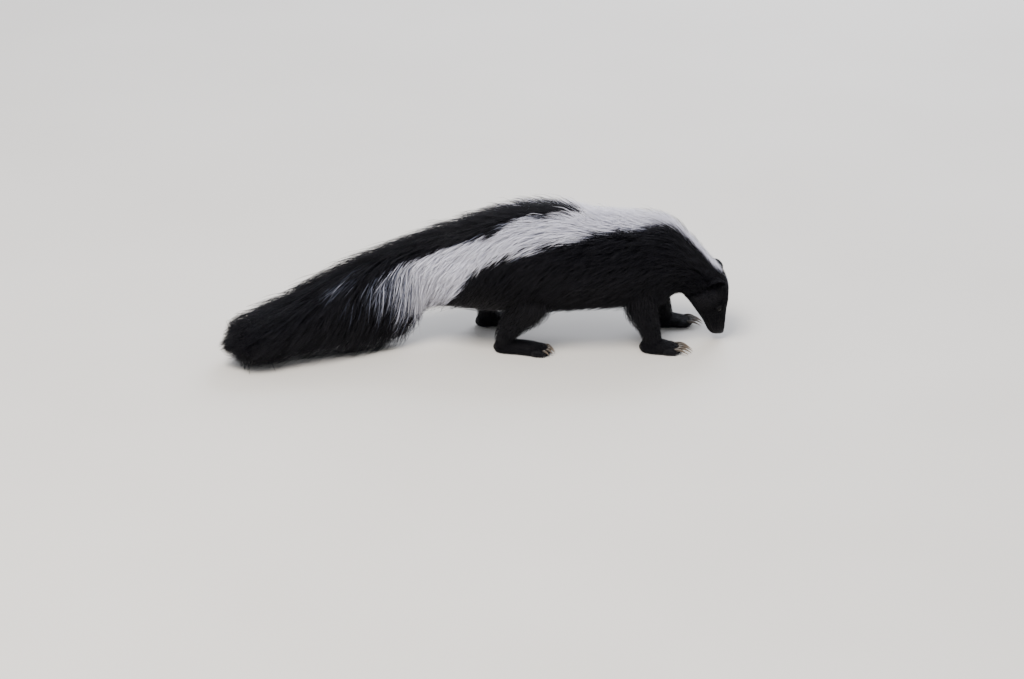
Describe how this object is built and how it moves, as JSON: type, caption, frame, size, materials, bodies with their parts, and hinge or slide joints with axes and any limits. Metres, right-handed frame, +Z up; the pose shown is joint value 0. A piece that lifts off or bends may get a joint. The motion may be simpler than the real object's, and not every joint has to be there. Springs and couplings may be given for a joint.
{
  "type": "striped skunk model",
  "caption": "Life-size still model of a striped skunk foraging with its nose to the ground, back arched and bushy tail laid low behind it.",
  "frame": {"origin": "on the floor, under the middle of the model's bounding box", "axes": "+X forward, towards the head; +Y to the animal's left; +Z up from the floor"},
  "size_m": [0.6072, 0.2026, 0.1759],
  "materials": {
    "coat": "long soft fur, black with two white stripes along the back",
    "paw": "short black fur over dark bare pads, with horn claws",
    "nose_skin": "moist, finely pebbled",
    "eye": "wet gloss"
  },
  "bodies": {
    "root": {"torso": "coat", "neck": "coat", "head": "coat", "jaw": "coat", "tail": "coat", "ear_left": "coat", "ear_right": "coat", "foreleg_left": "coat", "foreleg_right": "coat", "hind_leg_left": "coat", "hind_leg_right": "coat", "forepaw_left": "paw", "forepaw_right": "paw", "hind_paw_left": "paw", "hind_paw_right": "paw", "nose": "nose_skin", "eye_left": "eye", "eye_right": "eye"}
  },
  "joints": []
}
